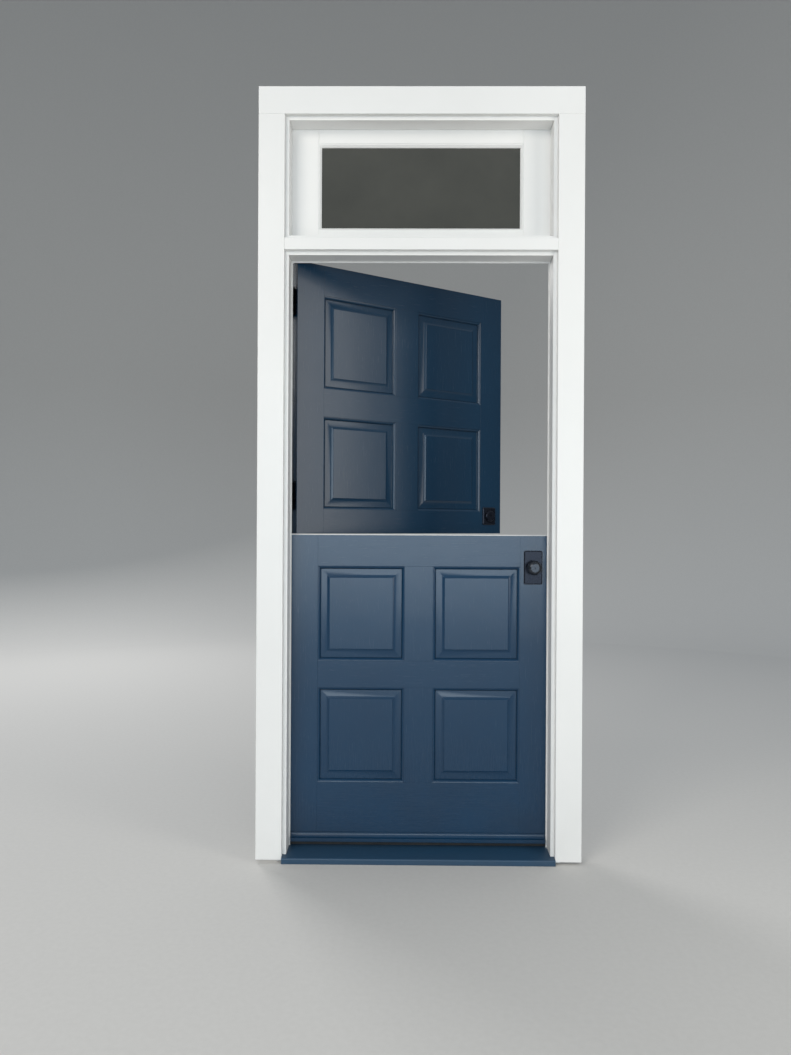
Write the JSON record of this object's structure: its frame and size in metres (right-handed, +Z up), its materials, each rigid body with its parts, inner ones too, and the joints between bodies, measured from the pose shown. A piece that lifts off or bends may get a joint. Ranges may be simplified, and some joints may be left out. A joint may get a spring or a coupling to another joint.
{
  "type": "stable door with frame",
  "caption": "Stable door: two panelled leaves, one above the other, hinged in a cased frame with a glazed transom over them.",
  "frame": {"origin": "on the floor under the middle of the sill, in the plane of the casing's back", "axes": "+Z up, -Y to the outside, +X to the lock side as seen from outside"},
  "size_m": [1.102, 0.6392, 2.625],
  "materials": {
    "leaf_paint": "satin navy paint on wood",
    "frame_paint": "satin warm white paint on wood",
    "dark_bronze": "near-black bronze, satin",
    "lock_steel": "brushed",
    "pale_rubber": "pale weatherstrip",
    "black_rubber": "black sweep",
    "dark_glass": "clear sealed unit, dark behind"
  },
  "bodies": {
    "frame": {"sill": "leaf_paint", "hinge_jamb": "frame_paint", "strike_jamb": "frame_paint", "head_jamb": "frame_paint", "transom_bar": "frame_paint", "casing_left": "frame_paint", "casing_right": "frame_paint", "casing_head": "frame_paint", "casing_transom": "frame_paint", "weatherstrip_sides": "pale_rubber", "weatherstrip_head": "pale_rubber", "sash_stile_left": "frame_paint", "sash_stile_right": "frame_paint", "sash_top_rail": "frame_paint", "sash_bottom_rail": "frame_paint", "transom_glass": "dark_glass", "glazing_beads": "frame_paint", "hinge_frame_leaves": "dark_bronze", "hinge_pins": "dark_bronze", "strike_plates": "dark_bronze"},
    "lower_leaf": {"lower_hinge_stile": "leaf_paint", "lower_lock_stile": "leaf_paint", "lower_bottom_rail": "leaf_paint", "lower_mid_rail": "leaf_paint", "lower_top_rail": "leaf_paint", "lower_mullions": "leaf_paint", "lower_panel_bottom_left": "leaf_paint", "lower_panel_bottom_right": "leaf_paint", "lower_panel_top_left": "leaf_paint", "lower_panel_top_right": "leaf_paint", "lower_hinge_leaves": "dark_bronze", "drip_moulding": "leaf_paint", "door_sweep": "black_rubber", "meeting_seal": "pale_rubber", "knob_plate_outside": "dark_bronze", "knob_plate_inside": "dark_bronze", "latch_case": "lock_steel", "bolt_keeper": "dark_bronze"},
    "upper_leaf": {"upper_hinge_stile": "leaf_paint", "upper_lock_stile": "leaf_paint", "upper_bottom_rail": "leaf_paint", "upper_mid_rail": "leaf_paint", "upper_top_rail": "leaf_paint", "upper_mullions": "leaf_paint", "upper_panel_bottom_left": "leaf_paint", "upper_panel_bottom_right": "leaf_paint", "upper_panel_top_left": "leaf_paint", "upper_panel_top_right": "leaf_paint", "upper_hinge_leaves": "dark_bronze", "deadbolt_plate_outside": "dark_bronze", "deadbolt_plate_inside": "dark_bronze", "deadbolt_case": "lock_steel", "surface_bolt_body": "dark_bronze"},
    "knob_set": {"knob_outside": "dark_bronze", "knob_inside": "dark_bronze"},
    "turn_button": {"turn_button": "dark_bronze"},
    "latch_bolt": {"latch_bolt": "lock_steel"},
    "deadbolt_turn": {"deadbolt_turn": "dark_bronze"},
    "deadbolt_bolt": {"deadbolt_bolt": "lock_steel"},
    "surface_bolt_rod": {"surface_bolt_rod": "dark_bronze"}
  },
  "joints": [
    {"name": "lower_leaf_hinge", "type": "hinge", "parent": "frame", "child": "lower_leaf", "pos_m": [-0.4585, 0.124, 0.573], "axis": [0, 0, 1], "range_deg": [0, 110]},
    {"name": "upper_leaf_hinge", "type": "hinge", "parent": "frame", "child": "upper_leaf", "pos_m": [-0.4585, 0.124, 1.591], "axis": [0, 0, 1], "range_deg": [-32.5, 77.5]},
    {"name": "knob_turn", "type": "hinge", "parent": "lower_leaf", "child": "knob_set", "pos_m": [0.397, 0.09375, 0.999], "axis": [0, 1, 0], "range_deg": [0, 60], "stiffness_Nm_per_rad": 0.3},
    {"name": "latch_slide", "type": "slide", "parent": "lower_leaf", "child": "latch_bolt", "axis": [-1, 0, 0], "range_m": [0, 0.012]},
    {"name": "turn_button_turn", "type": "hinge", "parent": "knob_set", "child": "turn_button", "pos_m": [0.397, 0.09375, 0.999], "axis": [0, 1, 0], "range_deg": [0, 90]},
    {"name": "deadbolt_turn_turn", "type": "hinge", "parent": "upper_leaf", "child": "deadbolt_turn", "pos_m": [0.27927, 0.55815, 1.183], "axis": [-0.5373, 0.8434, 0], "range_deg": [0, 90]},
    {"name": "deadbolt_slide", "type": "slide", "parent": "upper_leaf", "child": "deadbolt_bolt", "axis": [0.8434, 0.5373, 0], "range_m": [0, 0.025]},
    {"name": "surface_bolt_slide", "type": "slide", "parent": "upper_leaf", "child": "surface_bolt_rod", "axis": [0, 0, -1], "range_m": [0, 0.034]}
  ],
  "couplings": [
    {"joint": "latch_slide", "follows": "knob_turn", "m_per_rad": 0.011459},
    {"joint": "deadbolt_turn_turn", "follows": "deadbolt_slide", "rad_per_m": 62.832}
  ]
}
